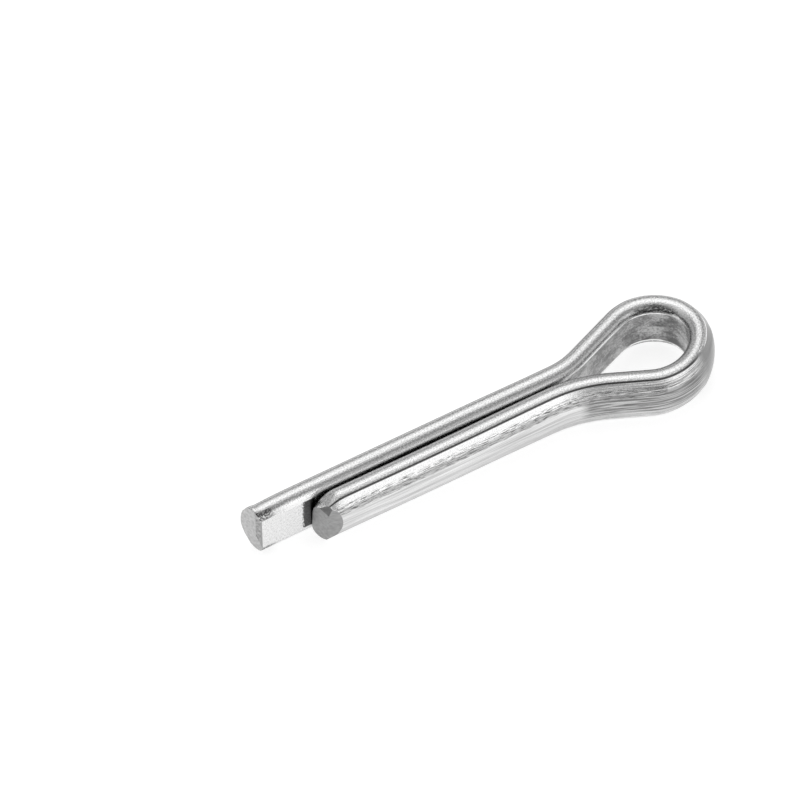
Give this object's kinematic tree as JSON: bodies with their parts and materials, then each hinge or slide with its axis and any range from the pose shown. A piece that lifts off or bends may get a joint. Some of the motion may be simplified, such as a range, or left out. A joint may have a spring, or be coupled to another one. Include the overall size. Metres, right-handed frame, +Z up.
{
  "type": "cotter pin",
  "caption": "Steel cotter pin (split pin): half-round wire folded into two parallel legs of unequal length with a teardrop eye, zinc plated",
  "frame": {"origin": "on the shank's axis at the foot of the eye, where the two legs' flat inner faces turn apart, at the wire's mid height", "axes": "+X along the shank towards the eye, +Y from the short leg to the long leg, +Z up with the pin lying on its side"},
  "size_m": [0.0467, 0.0111, 0.0058],
  "materials": {
    "plated_steel": "drawn wire with bright zinc plating"
  },
  "bodies": {
    "root": {"cotter_pin": "plated_steel"}
  },
  "joints": []
}
